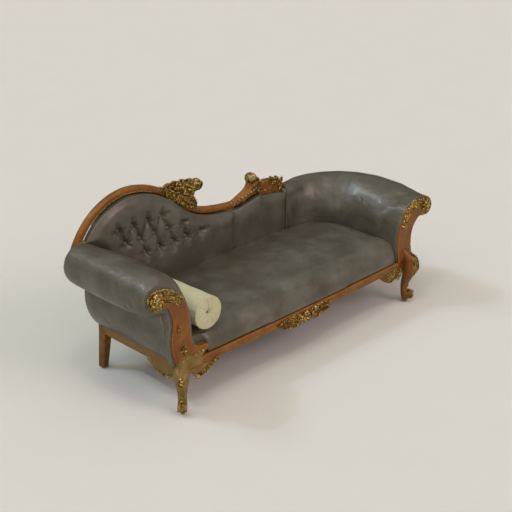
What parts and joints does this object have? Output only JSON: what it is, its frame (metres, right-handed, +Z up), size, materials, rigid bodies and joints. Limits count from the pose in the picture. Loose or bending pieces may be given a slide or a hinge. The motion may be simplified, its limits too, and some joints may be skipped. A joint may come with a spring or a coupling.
{
  "type": "sofa",
  "caption": "Serpentine-backed sofa with scrolled arms, carved show-wood frame on cabriole legs, buttoned leather back and a loose round bolster.",
  "frame": {"origin": "middle of the footprint on the floor", "axes": "+X along the seat to the low foot end, +Y to the back, +Z up"},
  "size_m": [2.2456, 0.8266, 0.9955],
  "materials": {
    "show_wood": "polished, antiqued orange-brown",
    "gilt": "gilded carving, worn",
    "inner_wood": "sawn beech",
    "leather": "aged, glossy on the rolls",
    "steel": "dull",
    "hessian": "coarse weave",
    "dust_cloth": "thin black cloth",
    "bolster_cloth": "soft pale cloth",
    "bolster_filling": "wadding"
  },
  "bodies": {
    "sofa": {"front_seat_rail": "show_wood", "left_side_rail": "show_wood", "right_side_rail": "show_wood", "left_arm_facing": "show_wood", "right_arm_facing": "show_wood", "front_left_leg": "show_wood", "front_right_leg": "show_wood", "rear_left_leg": "show_wood", "rear_right_leg": "show_wood", "crest_rail": "show_wood", "left_front_bracket": "show_wood", "right_front_bracket": "show_wood", "left_side_bracket": "show_wood", "right_side_bracket": "show_wood", "crest_end_block": "show_wood", "crest_leaf_ornament": "gilt", "crest_ball_ornament": "gilt", "crest_end_cap": "gilt", "front_rail_ornament": "gilt", "back_seat_rail": "inner_wood", "seat_stretchers": "inner_wood", "corner_blocks": "inner_wood", "left_arm_top_rail": "inner_wood", "left_arm_tack_rail": "inner_wood", "foot_wing_top_rail": "inner_wood", "head_back_stile": "inner_wood", "middle_back_stile": "inner_wood", "foot_back_stile": "inner_wood", "back_tack_rails": "inner_wood", "left_arm_pad": "leather", "left_outer_arm_cover": "leather", "foot_wing_pad": "leather", "foot_outer_cover": "leather", "seat_pad": "leather", "tufted_back_pad": "leather", "plain_back_pad": "leather", "tufting_buttons": "leather", "outer_back_cover": "leather", "corner_block_screws": "steel", "foot_glides": "steel", "seat_springs": "steel", "spring_hessian": "hessian", "seat_webbing": "hessian", "dust_cover": "dust_cloth"},
    "bolster": {"bolster_case": "bolster_cloth", "bolster_core": "bolster_filling", "bolster_buttons": "bolster_cloth"}
  },
  "joints": [
    {"name": "bolster_lift", "type": "slide", "parent": "sofa", "child": "bolster", "axis": [0, 0, 1], "range_m": [0, 0.4]}
  ]
}
